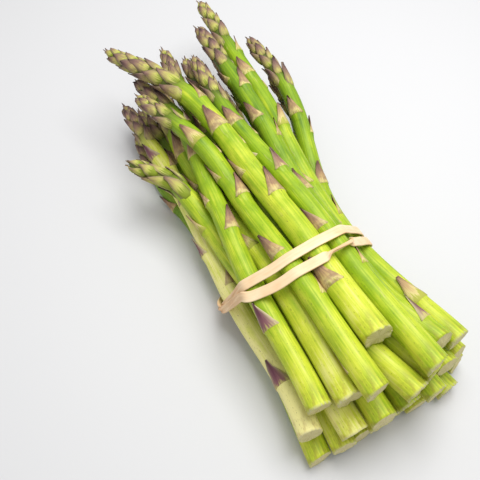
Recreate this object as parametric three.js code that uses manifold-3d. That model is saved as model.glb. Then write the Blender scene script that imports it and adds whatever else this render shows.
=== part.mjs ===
// A bundle of asparagus: spears lying along +Y, cut ends at -Y and heads at +Y, held by a rubber band.
// Millimetres, +Z up. While it is laid out, the tie is at y = 0 and the surface is z = 0. At the end
// the group is moved so that the origin is at the bottom centre of the whole bunch.
import * as THREE from 'three';
import { mergeVertices } from 'three/addons/utils/BufferGeometryUtils.js';
import Module from 'manifold-3d';

const wasm = await Module();
wasm.setup();

// ---- driving dimensions -------------------------------------------------------------------------

// Spears that show from outside, one to a row: diameter at the cut end, length of the scaly head, centre
// of the stem at the cut end [x, y, z], at the tie [x, z], at the neck and at the tip [x, y, z], height
// of the lowest scale above the cut end, and the way that scale faces, in degrees from +X over the top.
const SHOWN = [
  spearOf(12.0, 44, [-50, -66, 28], [-38, 23], [-28, 105, 22], [-29, 156, 22], 26, 130),
  spearOf(12.0, 40, [-35, -60, 41], [-24, 38], [-12, 107, 37], [-19, 155, 36], 42, 140),
  spearOf(14.5, 44, [-21, -64, 38], [-17, 34], [-11, 100, 28], [-8, 152, 27], 60, 10),
  spearOf(12.5, 42, [-12, -70, 51], [-12, 47], [-9, 80, 42], [-20, 138, 38], 14, 230),
  spearOf(14.5, 62, [-3, -50, 56], [1, 50], [-2, 104, 50], [-29, 174, 50], 30, 140),
  spearOf(12.5, 50, [19, -74, 54], [14, 49], [10, 90, 48], [15, 150, 46], 24, 230),
  spearOf(12.5, 48, [36, -65, 48], [28, 46], [30, 98, 45], [31, 174, 44], 12, 40),
  spearOf(12.5, 50, [46, -66, 40], [40, 38], [40, 127, 40], [44, 195, 42], 24, 90),
  spearOf(14.0, 36, [-25, -76, 24], [-22, 27], [-32, 80, 34], [-50, 106, 37], 44, 0),
  spearOf(12.0, 46, [53, -70, 28], [45, 26], [60, 112, 32], [57, 156, 38], 44, 20),
  spearOf(11.5, 44, [47, -72, 13], [41, 14], [60, 92, 20], [62, 136, 22], 38, 30),
  spearOf(12.5, 38, [14, -77, 39], [0, 37], [2, 135, 36], [6, 172, 38], 20, 250),
  spearOf(12.0, 40, [24, -74, 38], [13, 37], [12, 122, 34], [14, 161, 35], 46, 70),
  spearOf(12.5, 42, [37, -73, 33], [31, 28], [34, 120, 29], [36, 162, 29], 12, 60),
];

function spearOf(d, head, butt, [tieX, tieZ], neck, tip, first, turn) {
  return { d, head, butt, tie: [tieX, 0, tieZ], neck, tip, first, turn };
}

// The spears inside and under the bunch, row by row: height of the row and the stems' places across it.
const ROWS = [
  { z: 26, xs: [-8, 6, 19] },
  { z: 16, xs: [-20, -6, 8, 21] },
  { z: 6, xs: [-29, -14, 0, 14, 27] },
];
const ROW_SPEAR = { d: 12.5, head: 42, buttY: -78, neckY: 108, tipY: 152, first: 34 };
const VARY = {
  d: 0.8, head: 5, first: 20, buttX: 1.5, buttY: 3, neckX: 2, neckY: 7, tipX: 5, tipY: 9, tipZ: 1,
};
const FAN_OUT = { butts: 1.35, necks: 1.02, buttUp: 1.06, neckDown: 0.92 }; // place at an end over the tie's

const NECK_TAPER = 0.8; // radius under the head over radius at the cut end
const HEAD = { roundness: 0.36, swell: 0.3 }; // shape of a head's outline, and how much it swells
const SIDES = 8; // sides of a stem
const STEM_RINGS = [-38, -9, 9, 36, 62, 86]; // y of the rings between the cut end and the neck
const RING_ROOM = 12; // least distance from a stem ring to the neck
const HEAD_CORE = 0.9; // core of the head over its full radius; the scales stand out of it
const SCALE_RIM = { before: 0.1, out: 0.3 }; // where a tier ends: share of its length left, and rise

// The scales of a head stand in tiers, SIDES / 2 to a tier, each tier turned by half a scale from the
// last. `starts` are the feet of the tiers as shares of the head's length from the neck.
const TIERS = { starts: [0, 0.2, 0.38, 0.54, 0.69, 0.82], close: 0.93, overlap: 0.4, out: 1.2, less: 0.4 };

const GOLDEN_ANGLE = 137.5; // turn from one scale to the next
const STEM_SCALES = { gapAtButt: 40, gapAtNeck: 8, crowding: 0.8, halfAngle: 58 };
const STEM_SCALE_LENGTH = { atButt: 18, less: 0.15, onDiameter: 12.5 }; // `less`: share lost at the neck
const LARGEST_SLANT = 0.2; // of a cut end, in radians

const SHORTEST_EDGE = 0.02; // shorter edges that a join leaves are closed up

const STATION_STEP = 12; // spacing of the planes in which the stems are kept apart
const FIRST_STATION = -96;
const STATION_COUNT = 27;
const CLEARANCE = 0.65; // between stems
const HEAD_ROOM = 1.0; // extra radius kept free round a head for its scales
const FLAT = 0.4; // depth of the flat that the lowest stems rest on
const SETTLE_ROUNDS = 420;
const SQUEEZE_ROUNDS = 260;
const STIFFNESS = 10; // passes that spread a push along a stem
const SQUEEZE = { reach: 45, inward: 0.005, down: 0.09 }; // pull of the tie, strongest at y = 0

// The band runs twice round the bunch as a leaning ring: `at` is its y at the sides, and on top it is
// `lean` nearer the cut ends, below `lean` nearer the heads. `middle` is the height of the ring's middle.
// `apart` and `spread` are half the distance between the two strands under and on top of the bunch.
// `gap` is the clearance between the band and the stems.
const BAND = { width: 5.2, thick: 1, gap: 0.7, spread: 4.4, apart: 3.1, steps: 96 };
const RING = { at: 11, lean: 14, middle: 28 };
// The strands cross `at` degrees over the left side and part from there at the rate `parting`. One of
// them starts to rise over the other `over` degrees from the crossing, and is up `rise` degrees later.
const CROSSING = { at: 10, parting: 2.6, over: 60, rise: 34 };
const TAUT = 1.02; // radius of a stem as the band finds it, over its own
const BAND_ROOM = { under: 0.2, reach: 22, bare: 14 }; // room under it, its reach, and stem with no scales

// ---- spears as curves ---------------------------------------------------------------------------

function randomFrom(seed) {
  let state = seed;
  return () => {
    state = (state * 1664525 + 1013904223) % 4294967296;
    return state / 4294967296;
  };
}

// Value at y of the smooth curve through knots [[y, value], ...]: cubic, with the slopes of a
// Catmull-Rom spline inside and straight ends.
function through(knots, y) {
  let i = 0;
  while (i < knots.length - 2 && y > knots[i + 1][0]) i += 1;
  const slope = (a, b) => (knots[b][1] - knots[a][1]) / (knots[b][0] - knots[a][0]);
  const [y0, v0] = knots[i];
  const [y1, v1] = knots[i + 1];
  const inner = slope(i, i + 1);
  const m0 = i > 0 ? slope(i - 1, i + 1) : inner;
  const m1 = i < knots.length - 2 ? slope(i, i + 2) : inner;
  const h = y1 - y0;
  const t = (y - y0) / h;
  if (t < 0) return v0 + m0 * (y - y0);
  if (t > 1) return v1 + m1 * (y - y1);
  const a = 2 * t ** 3 - 3 * t ** 2 + 1;
  const b = t ** 3 - 2 * t ** 2 + t;
  const c = -2 * t ** 3 + 3 * t ** 2;
  const d = t ** 3 - t ** 2;
  return a * v0 + b * h * m0 + c * v1 + d * h * m1;
}

function rowSpears() {
  const random = randomFrom(7);
  const vary = (size) => (2 * random() - 1) * size;
  const row = ROW_SPEAR;
  return ROWS.flatMap(({ z, xs }) => xs.map((x) => {
    const neckX = x * FAN_OUT.necks + vary(VARY.neckX);
    const neck = [neckX, row.neckY + vary(VARY.neckY), z * FAN_OUT.neckDown];
    const tip = [neck[0] + vary(VARY.tipX), row.tipY + vary(VARY.tipY), neck[2] + vary(VARY.tipZ)];
    const buttX = x * FAN_OUT.butts + vary(VARY.buttX);
    const butt = [buttX, row.buttY + vary(VARY.buttY), z * FAN_OUT.buttUp];
    const first = row.first + vary(VARY.first);
    const turn = 360 * random();
    return spearOf(row.d + vary(VARY.d), row.head + vary(VARY.head), butt, [x, z], neck, tip, first, turn);
  }));
}

// Radius at a distance `back` from the tip. The head swells a little above the neck, then closes.
function radiusAt(spear, y) {
  const back = spear.tip[1] - y;
  if (back <= 0) return 0;
  const r = spear.d / 2;
  const neck = r * NECK_TAPER;
  if (back < spear.head) {
    const u = back / spear.head;
    return neck * u ** HEAD.roundness * (1 + HEAD.swell * (1 - u));
  }
  const share = (y - spear.butt[1]) / (spear.tip[1] - spear.head - spear.butt[1]);
  return r + (neck - r) * Math.max(0, share);
}

function settleRadius(spear, y, slope) {
  const inHead = spear.tip[1] - y < spear.head && y < spear.tip[1] + 2;
  const r = radiusAt(spear, y) + (inHead ? HEAD_ROOM : 0);
  return r * Math.sqrt(1 + slope * slope);
}

// Height of the surface under the stems: the band lies flat under them round y = 0.
function floorAt(y) {
  const underBand = BAND.thick + BAND.gap + BAND_ROOM.under;
  const away = y - RING.at - RING.lean;
  return -FLAT + (underBand + FLAT) / (1 + (away / BAND_ROOM.reach) ** 4);
}

// A stem is stiff, so a push at one point carries its neighbours along.
function eased(pushes) {
  const last = pushes.length - 1;
  let list = pushes;
  for (let pass = 0; pass < STIFFNESS; pass += 1) {
    list = list.map((push, k) => {
      const beside = list[Math.max(0, k - 1)] + list[Math.min(last, k + 1)];
      return 0.5 * push + 0.25 * beside;
    });
  }
  return list;
}

// Each stem is a chain of points, one in each plane y = constant. The points of one plane are pushed
// apart until no two stems touch, drawn together near the tie, and kept above the surface.
function settle(spears) {
  const planes = Array.from({ length: STATION_COUNT }, (_, k) => FIRST_STATION + k * STATION_STEP);
  for (const spear of spears) {
    const knots = [spear.butt, spear.tie, spear.neck, spear.tip];
    spear.planes = planes.filter((y) => y > spear.butt[1] - STATION_STEP && y < spear.tip[1] + STATION_STEP);
    spear.x = spear.planes.map((y) => through(knots.map((p) => [p[1], p[0]]), y));
    spear.z = spear.planes.map((y) => through(knots.map((p) => [p[1], p[2]]), y));
    spear.from = planes.indexOf(spear.planes[0]);
  }
  for (let round = 0; round < SETTLE_ROUNDS; round += 1) {
    for (const spear of spears) {
      const last = spear.planes.length - 1;
      spear.dx = spear.x.map(() => 0);
      spear.dz = spear.x.map(() => 0);
      spear.r = spear.planes.map((y, k) => {
        const a = Math.max(0, k - 1);
        const b = Math.min(last, k + 1);
        const run = spear.planes[b] - spear.planes[a];
        const slope = Math.hypot(spear.x[b] - spear.x[a], spear.z[b] - spear.z[a]) / run;
        return settleRadius(spear, y, slope);
      });
    }
    for (let i = 0; i < spears.length; i += 1) {
      for (let j = i + 1; j < spears.length; j += 1) {
        const a = spears[i];
        const b = spears[j];
        const from = Math.max(a.from, b.from);
        const to = Math.min(a.from + a.planes.length, b.from + b.planes.length);
        for (let plane = from; plane < to; plane += 1) {
          const ka = plane - a.from;
          const kb = plane - b.from;
          if (a.r[ka] === 0 || b.r[kb] === 0) continue;
          const x = b.x[kb] - a.x[ka];
          const z = b.z[kb] - a.z[ka];
          const apart = Math.hypot(x, z);
          const short = a.r[ka] + b.r[kb] + CLEARANCE - apart;
          if (short <= 0) continue;
          const push = (0.5 * short) / apart;
          a.dx[ka] -= push * x;
          a.dz[ka] -= push * z;
          b.dx[kb] += push * x;
          b.dz[kb] += push * z;
        }
      }
    }
    for (const spear of spears) {
      spear.planes.forEach((y, k) => {
        if (round < SQUEEZE_ROUNDS) {
          const near = Math.exp(-((y / SQUEEZE.reach) ** 2));
          spear.dx[k] -= SQUEEZE.inward * near * spear.x[k];
          spear.dz[k] -= SQUEEZE.down * near;
        }
      });
      const dx = eased(spear.dx);
      const dz = eased(spear.dz);
      spear.planes.forEach((y, k) => {
        spear.x[k] += dx[k];
        spear.z[k] = Math.max(spear.z[k] + dz[k], floorAt(y) + radiusAt(spear, y));
      });
    }
  }
}

function centreAt(spear, y) {
  const x = through(spear.planes.map((p, k) => [p, spear.x[k]]), y);
  const z = through(spear.planes.map((p, k) => [p, spear.z[k]]), y);
  return new THREE.Vector3(x, y, z);
}

// A point of a spear: y along it, `angle` round it (90 degrees is up) and `out` from its centre line.
function pointOn(spear, y, angle, out) {
  const ahead = centreAt(spear, y + 1);
  const behind = centreAt(spear, y - 1);
  const along = ahead.sub(behind).normalize();
  const side = new THREE.Vector3().crossVectors(along, new THREE.Vector3(0, 0, 1)).normalize();
  const up = new THREE.Vector3().crossVectors(side, along);
  const a = THREE.MathUtils.degToRad(angle);
  return centreAt(spear, y)
    .addScaledVector(side, out * Math.cos(a))
    .addScaledVector(up, out * Math.sin(a));
}

// ---- solids -------------------------------------------------------------------------------------

function solidOf(geometry) {
  const bare = geometry.clone();
  bare.deleteAttribute('normal');
  bare.deleteAttribute('uv');
  const merged = mergeVertices(bare, 1e-4);
  return new wasm.Manifold(new wasm.Mesh({
    numProp: 3,
    vertProperties: new Float32Array(merged.attributes.position.array),
    triVerts: new Uint32Array(merged.index.array),
  }));
}

function geometryOf(solid) {
  const mesh = solid.getMesh();
  const geometry = new THREE.BufferGeometry();
  geometry.setAttribute('position', new THREE.BufferAttribute(mesh.vertProperties, 3));
  geometry.setIndex(new THREE.BufferAttribute(mesh.triVerts, 1));
  geometry.computeVertexNormals();
  return geometry;
}

function facetsOf(points, faces) {
  const geometry = new THREE.BufferGeometry();
  geometry.setAttribute('position', new THREE.Float32BufferAttribute(points.flatMap((p) => p.toArray()), 3));
  geometry.setIndex(faces.flat());
  return geometry;
}

// Rings of a straight spear from the cut end to the tip. In a ring with `point` the corners under the
// points of that tier's scales are carried forward and out, and the others stay back.
function ringsOf(spear) {
  const [butt, tip] = [spear.butt[1], spear.tip[1]];
  const neckY = tip - spear.head;
  const rings = [];
  for (const y of [butt, ...STEM_RINGS]) {
    if (y < neckY - RING_ROOM) rings.push({ y, out: radiusAt(spear, y) });
  }
  const feet = [...TIERS.starts, TIERS.close].map((share) => neckY + share * spear.head);
  for (let tier = 0; tier + 1 < feet.length; tier += 1) {
    const [foot, next] = [feet[tier], feet[tier + 1]];
    rings.push({ y: foot, out: radiusAt(spear, foot) * (tier > 0 ? HEAD_CORE : 1) });
    const out = TIERS.out * (1 - (TIERS.less * tier) / feet.length);
    const point = { forward: TIERS.overlap * (next - foot), out, tier };
    const rim = next - SCALE_RIM.before * (next - foot);
    rings.push({ y: rim, out: radiusAt(spear, next) * HEAD_CORE + SCALE_RIM.out, point });
  }
  const last = feet[feet.length - 1];
  rings.push({ y: last, out: radiusAt(spear, last) * HEAD_CORE });
  return rings;
}

// The spear is turned straight along +Y, its head is raised into scales, and it is bent along its
// centre line.
function stemSolid(spear) {
  const [butt, tip] = [spear.butt[1], spear.tip[1]];
  const rings = ringsOf(spear);
  const profile = [
    new THREE.Vector2(0, butt),
    ...rings.map((ring) => new THREE.Vector2(ring.out, ring.y)),
    new THREE.Vector2(0, tip),
  ];
  const geometry = new THREE.LatheGeometry(profile, SIDES);
  const position = geometry.attributes.position;
  for (let k = 0; k < position.count; k += 1) {
    const ring = rings[(k % profile.length) - 1];
    const corner = Math.floor(k / profile.length) % SIDES;
    const angle = 90 - (360 * corner) / SIDES;
    let out = Math.hypot(position.getX(k), position.getZ(k));
    let y = position.getY(k);
    if (ring === rings[0]) {
      y += spear.slant * out * (1 + Math.cos(THREE.MathUtils.degToRad(angle - spear.slantTurn)));
    }
    if (ring?.point && (corner + ring.point.tier) % 2 === 0) {
      y += ring.point.forward;
      out += ring.point.out;
    }
    position.setXYZ(k, ...pointOn(spear, y, angle, out).toArray());
  }
  return solidOf(geometry);
}

// A triangular scale lying on the stem with its point a little off it.
function stemScale(spear, y, angle, length) {
  const half = STEM_SCALES.halfAngle;
  const at = (share, turn, rise) => {
    const here = y + share * length;
    return pointOn(spear, here, angle + turn * half, radiusAt(spear, here) + rise);
  };
  const root = pointOn(spear, y + 0.35 * length, angle, 0.3 * radiusAt(spear, y));
  const rim = [at(0, -1, -0.8), at(0, 1, -0.8), at(0.5, 0.6, 0.7), at(1, 0, 1.3), at(0.5, -0.6, 0.7)];
  return { points: [...rim, at(0.2, 0, 1.1), root], faces: fan(rim.length) };
}

// Faces of a double cone over a closed rim of n points: point n is its outer end, n + 1 its inner end.
function fan(n) {
  const faces = [];
  for (let k = 0; k < n; k += 1) {
    const next = (k + 1) % n;
    faces.push([n, next, k], [n + 1, k, next]);
  }
  return faces;
}

// Free distance from a point to the surface below and to the nearest other spear.
function roomAt(point, spear, spears) {
  let room = point.z;
  for (const other of spears) {
    if (other === spear || point.y < other.butt[1] - 1 || point.y > other.tip[1] + 1) continue;
    const centre = centreAt(other, point.y);
    const inHead = other.tip[1] - point.y < other.head ? HEAD_ROOM : 0;
    const apart = Math.hypot(point.x - centre.x, point.z - centre.z) - radiusAt(other, point.y) - inHead;
    room = Math.min(room, apart);
  }
  return room;
}

function scalesOf(spear, spears) {
  const scales = [];
  const neckY = spear.tip[1] - spear.head;
  const tied = RING.at - RING.lean * (centreAt(spear, 0).z / RING.middle - 1);
  let angle = spear.turn;
  let y = spear.butt[1] + spear.first;
  while (y < neckY) {
    const share = (y - spear.butt[1]) / (neckY - spear.butt[1]);
    const { atButt, less, onDiameter } = STEM_SCALE_LENGTH;
    const length = atButt * (1 - less * share) * (spear.d / onDiameter);
    const underBand = y + length > tied - BAND_ROOM.bare && y < tied + BAND_ROOM.bare;
    if (!underBand) scales.push(stemScale(spear, y, angle, length));
    const { gapAtButt, gapAtNeck, crowding } = STEM_SCALES;
    y += gapAtButt + (gapAtNeck - gapAtButt) * share ** crowding;
    angle += GOLDEN_ANGLE;
  }
  return scales.filter((scale) => {
    const outer = scale.points.slice(0, -1);
    return Math.min(...outer.map((point) => roomAt(point, spear, spears))) > CLEARANCE;
  });
}

const surface = solidOf(new THREE.BoxGeometry(600, 900, 40).translate(0, 0, -20));

function spearGeometry(spear, spears) {
  let solid = stemSolid(spear);
  for (const scale of scalesOf(spear, spears)) {
    solid = solid.add(solidOf(facetsOf(scale.points, scale.faces)));
  }
  return geometryOf(solid.subtract(surface).simplify(SHORTEST_EDGE));
}

// ---- the rubber band ----------------------------------------------------------------------------

// The point `rise` outside the bunch at y in a direction round it: 0 degrees is -X, 90 is up.
function hullPoint(spears, y, turn, rise) {
  const a = THREE.MathUtils.degToRad(turn);
  const out = new THREE.Vector3(-Math.cos(a), 0, Math.sin(a));
  let furthest = -Infinity;
  let point = null;
  for (const spear of spears) {
    const centre = centreAt(spear, y);
    const r = radiusAt(spear, y) * TAUT;
    const reach = centre.dot(out) + r;
    if (reach > furthest) {
      furthest = reach;
      point = centre.addScaledVector(out, r + rise);
    }
  }
  return point;
}

// y of the middle between the strands in a direction round the bunch.
function ringAt(turn) {
  return RING.at - RING.lean * Math.sin(THREE.MathUtils.degToRad(turn));
}

// Distance of a strand from that middle, `turned` degrees from where the strands cross: most on top.
function strandOffset(turned) {
  const a = THREE.MathUtils.degToRad(turned);
  const top = Math.sin(THREE.MathUtils.degToRad(turned + CROSSING.at));
  const wide = BAND.apart + (BAND.spread - BAND.apart) * Math.max(0, top);
  return wide * Math.min(1, Math.abs(Math.sin(a / 2)) * CROSSING.parting);
}

function bandGeometry(spears) {
  const { steps, width, thick, gap } = BAND;
  const points = [];
  const faces = [];
  for (let k = 0; k < steps; k += 1) {
    const turned = (720 * k) / steps;
    const turn = turned + CROSSING.at;
    const y = ringAt(turn) + (turned < 360 ? 1 : -1) * strandOffset(turned);
    const nearness = CROSSING.over - Math.abs(turned - 360);
    const lift = (thick + gap) * THREE.MathUtils.smoothstep(nearness, 0, CROSSING.rise);
    for (const [across, rise] of [[-1, 0], [1, 0], [1, 1], [-1, 1]]) {
      const point = hullPoint(spears, y, turn, gap + lift + rise * thick);
      points.push(point.add(new THREE.Vector3(0, (across * width) / 2, 0)));
    }
    const next = (k + 1) % steps;
    for (let c = 0; c < 4; c += 1) {
      const d = (c + 1) % 4;
      faces.push([4 * k + c, 4 * k + d, 4 * next + d], [4 * k + c, 4 * next + d, 4 * next + c]);
    }
  }
  return facetsOf(points, faces);
}

// ---- the bundle ---------------------------------------------------------------------------------

const spears = [...SHOWN, ...rowSpears()];
const slants = randomFrom(31);
for (const spear of spears) {
  spear.slant = Math.tan(LARGEST_SLANT * slants());
  spear.slantTurn = 360 * slants();
}
settle(spears);

const stemMaterial = new THREE.MeshStandardMaterial({ color: 0x9cb83c, roughness: 0.45, metalness: 0 });
const bandMaterial = new THREE.MeshStandardMaterial({ color: 0xeccfa4, roughness: 0.6, metalness: 0 });

const group = new THREE.Group();
spears.forEach((spear, index) => {
  const mesh = new THREE.Mesh(spearGeometry(spear, spears), stemMaterial);
  mesh.name = `spear_${String(index + 1).padStart(2, '0')}`;
  group.add(mesh);
});
const band = new THREE.Mesh(bandGeometry(spears), bandMaterial);
band.name = 'rubber_band';
group.add(band);

const box = new THREE.Box3().setFromObject(group);
const centre = box.getCenter(new THREE.Vector3());
group.position.set(-centre.x, -centre.y, -box.min.z);

export default group;
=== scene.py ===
# %% [markdown]
# # A bundle of asparagus
# Twenty-six spears lie on their side, cut ends at -Y and heads at +Y, and one rubber band holds them.
# The frame gives the plain solids. Each spear is replaced by a finer one on the same centre line, with a
# ridged skin, thin papery bracts, a head of overlapping scales and a fibrous cut end.

import math
from collections import namedtuple
from types import SimpleNamespace as Record

import bpy
import numpy as np
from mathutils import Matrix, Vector


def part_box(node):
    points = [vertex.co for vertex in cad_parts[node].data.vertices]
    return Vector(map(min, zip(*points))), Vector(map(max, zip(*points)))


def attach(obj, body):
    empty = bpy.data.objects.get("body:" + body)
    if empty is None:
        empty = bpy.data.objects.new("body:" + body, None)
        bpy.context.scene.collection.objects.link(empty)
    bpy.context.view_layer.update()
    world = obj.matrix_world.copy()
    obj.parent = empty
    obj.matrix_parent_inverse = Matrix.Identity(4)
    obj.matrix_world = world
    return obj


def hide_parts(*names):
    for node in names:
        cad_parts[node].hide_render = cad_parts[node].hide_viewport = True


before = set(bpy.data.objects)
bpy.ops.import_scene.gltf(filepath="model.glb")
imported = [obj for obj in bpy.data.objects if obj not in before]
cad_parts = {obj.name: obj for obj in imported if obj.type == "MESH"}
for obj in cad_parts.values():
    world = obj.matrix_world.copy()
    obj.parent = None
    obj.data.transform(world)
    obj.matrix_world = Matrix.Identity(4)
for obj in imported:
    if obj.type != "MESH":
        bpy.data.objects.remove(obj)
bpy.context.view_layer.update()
MM = 0.001

# %% [markdown]
# ## The spears' driving sizes
# Blender works in metres, but a grower thinks in millimetres, so the sizes stay in millimetres and are
# turned into metres where a mesh is made. The tie is at y = 0 while the bunch is laid out, as in the CAD.
# A spear that shows has a row of its own. Those inside come from rows and a seeded random draw.

# %% Sizes and places
# Diameter at the cut end, length of the scaly head, centre of the stem at the cut end [x, y, z], at the
# tie [x, z], at the neck and at the tip [x, y, z], height of the lowest bract, and the way it faces.


def spear_of(d, head, butt, tie, neck, tip, first, turn):
    return Record(
        d=d, head=head, butt=butt, tie=(tie[0], 0, tie[1]), neck=neck, tip=tip, first=first, turn=turn)


SHOWN = [
    spear_of(12.0, 44, (-50, -66, 28), (-38, 23), (-28, 105, 22), (-29, 156, 22), 26, 130),
    spear_of(12.0, 40, (-35, -60, 41), (-24, 38), (-12, 107, 37), (-19, 155, 36), 42, 140),
    spear_of(14.5, 44, (-21, -64, 38), (-17, 34), (-11, 100, 28), (-8, 152, 27), 60, 10),
    spear_of(12.5, 42, (-12, -70, 51), (-12, 47), (-9, 80, 42), (-20, 138, 38), 14, 230),
    spear_of(14.5, 62, (-3, -50, 56), (1, 50), (-2, 104, 50), (-29, 174, 50), 30, 140),
    spear_of(12.5, 50, (19, -74, 54), (14, 49), (10, 90, 48), (15, 150, 46), 24, 230),
    spear_of(12.5, 48, (36, -65, 48), (28, 46), (30, 98, 45), (31, 174, 44), 12, 40),
    spear_of(12.5, 50, (46, -66, 40), (40, 38), (40, 127, 40), (44, 195, 42), 24, 90),
    spear_of(14, 36, (-25, -76, 24), (-22, 27), (-32, 80, 34), (-50, 106, 37), 44, 0),
    spear_of(12.0, 46, (53, -70, 28), (45, 26), (60, 112, 32), (57, 156, 38), 44, 20),
    spear_of(11.5, 44, (47, -72, 13), (41, 14), (60, 92, 20), (62, 136, 22), 38, 30),
    spear_of(12.5, 38, (14, -77, 39), (0, 37), (2, 135, 36), (6, 172, 38), 20, 250),
    spear_of(12.0, 40, (24, -74, 38), (13, 37), (12, 122, 34), (14, 161, 35), 46, 70),
    spear_of(12.5, 42, (37, -73, 33), (31, 28), (34, 120, 29), (36, 162, 29), 12, 60),
]
ROWS = [(26, [-8, 6, 19]), (16, [-20, -6, 8, 21]), (6, [-29, -14, 0, 14, 27])]  # height, places across
ROW_SPEAR = Record(d=12.5, head=42, butt_y=-78, neck_y=108, tip_y=152)
FAN_OUT = Record(butts=1.35, necks=1.02, butt_up=1.06, neck_down=0.92)
LOOSE = Record(neck=(2, 7), tip=(5, 9, 1), butt=(1.5, 3), d=0.8, head=5)  # each way
FIRST_BRACT = Record(lowest=14, range=40)


def random_from(seed):
    """Random numbers from 0 to 1, the same in any language."""
    state = seed
    while True:
        state = (state * 1664525 + 1013904223) % 4294967296
        yield state / 4294967296


def row_spears():
    draw = random_from(7)

    def vary(size):
        return (2 * next(draw) - 1) * size

    row, fan = ROW_SPEAR, FAN_OUT
    spears = []
    for z, places in ROWS:
        for x in places:
            aside, ahead = map(vary, LOOSE.neck)
            neck = (x * fan.necks + aside, row.neck_y + ahead, z * fan.neck_down)
            aside, ahead, up = map(vary, LOOSE.tip)
            tip = (neck[0] + aside, row.tip_y + ahead, neck[2] + up)
            aside, ahead = map(vary, LOOSE.butt)
            butt = (x * fan.butts + aside, row.butt_y + ahead, z * fan.butt_up)
            first = FIRST_BRACT.lowest + FIRST_BRACT.range * next(draw)
            turn = 360 * next(draw)
            d = row.d + vary(LOOSE.d)
            spears.append(spear_of(d, row.head + vary(LOOSE.head), butt, (x, z), neck, tip, first, turn))
    return spears


spears = SHOWN + row_spears()
print(len(spears), "spears")

# %% [markdown]
# ## Where each stem runs
# Stems in a bunch touch and bend round each other. The CAD finds their lines by a small relaxation: each
# stem is a chain of points, one in each plane across the bunch, and points that are too near are pushed
# apart a little at a time. The same sums are done here with numpy, so the lines come out the same.

# %% Settling the stems
NECK_TAPER = 0.8
HEAD = Record(roundness=0.36, swell=0.3)
STATION_STEP = 12  # a plane across the bunch stands every 12 mm
STATIONS = -96 + STATION_STEP * np.arange(27)
CLEARANCE = 0.65
HEAD_ROOM = 1.0  # more room round a head, for its scales
FLAT = 0.4  # a resting stem is flattened by this much
ROUNDS = Record(all=420, squeeze=260)
STIFFNESS = 10
SQUEEZE = Record(reach=45, inward=0.005, down=0.09)  # how the band draws the stems together
BAND = Record(width=5.2, thick=1.0, gap=0.7, spread=4.4, apart=3.1, at=11, lean=14)
CROSSING = Record(at=10, parting=2.6, over=60, rise=34)
TAUT = 1.02
BAND_ROOM = Record(under=0.2, reach=22)  # the band passes under the bunch


def through(ys, values, y):
    """Value at y of the smooth curve through the points (ys, values)."""
    i = 0
    while i < len(ys) - 2 and y > ys[i + 1]:
        i += 1

    def slope(a, b):
        return (values[b] - values[a]) / (ys[b] - ys[a])

    inner = slope(i, i + 1)
    m0 = slope(i - 1, i + 1) if i > 0 else inner
    m1 = slope(i, i + 2) if i < len(ys) - 2 else inner
    h = ys[i + 1] - ys[i]
    t = (y - ys[i]) / h
    if t < 0:
        return values[i] + m0 * (y - ys[i])
    if t > 1:
        return values[i + 1] + m1 * (y - ys[i + 1])
    a = 2 * t**3 - 3 * t**2 + 1
    b = t**3 - 2 * t**2 + t
    c = -2 * t**3 + 3 * t**2
    d = t**3 - t**2
    return a * values[i] + b * h * m0 + c * values[i + 1] + d * h * m1


def radius_at(spear, y):
    back = spear.tip[1] - y
    if back <= 0:
        return 0.0
    r = spear.d / 2
    neck = r * NECK_TAPER
    if back < spear.head:
        u = back / spear.head
        return neck * u**HEAD.roundness * (1 + HEAD.swell * (1 - u))
    share = (y - spear.butt[1]) / (spear.tip[1] - spear.head - spear.butt[1])
    return r + (neck - r) * max(0, share)


def floor_at(y):
    under_band = BAND.thick + BAND.gap + BAND_ROOM.under
    away = y - BAND.at - BAND.lean
    return -FLAT + (under_band + FLAT) / (1 + (away / BAND_ROOM.reach) ** 4)


def easing(count):
    """The matrix that spreads a push at one point of a stiff stem along its neighbours."""
    once = 0.5 * np.eye(count)
    for k in range(count):
        once[k, max(0, k - 1)] += 0.25
        once[k, min(count - 1, k + 1)] += 0.25
    return np.linalg.matrix_power(once, STIFFNESS)


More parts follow.
